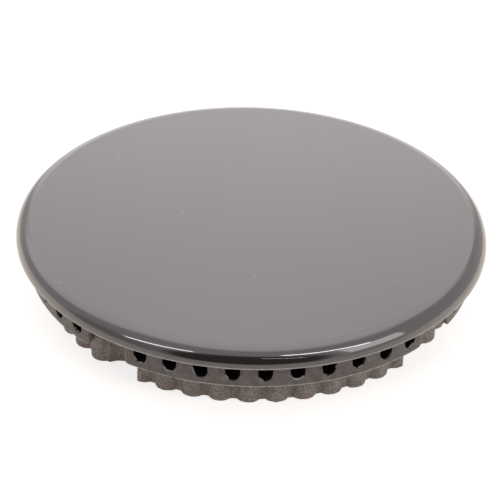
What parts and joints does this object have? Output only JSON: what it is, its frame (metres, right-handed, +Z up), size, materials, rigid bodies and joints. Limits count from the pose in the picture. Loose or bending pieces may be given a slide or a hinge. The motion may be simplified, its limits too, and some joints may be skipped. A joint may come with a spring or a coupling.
{
  "type": "gas burner cap",
  "caption": "Round gas burner top: a flat black enamelled lid resting on a cast ring with U-shaped flame ports, a fluted skirt and two U-shaped bays for the spark electrode and flame sensor.",
  "frame": {"origin": "on the ring's axis, at the level of the skirt's foot", "axes": "+Z up along the axis, through the lid; the bays are on the -Y and +X sides"},
  "size_m": [0.1, 0.1, 0.0168],
  "materials": {
    "black_enamel": "gloss vitreous enamel",
    "cast_alloy": "satin on the band, rough as cast on the skirt"
  },
  "bodies": {
    "root": {"burner_cap": "black_enamel", "flame_ring": "cast_alloy"}
  },
  "joints": []
}
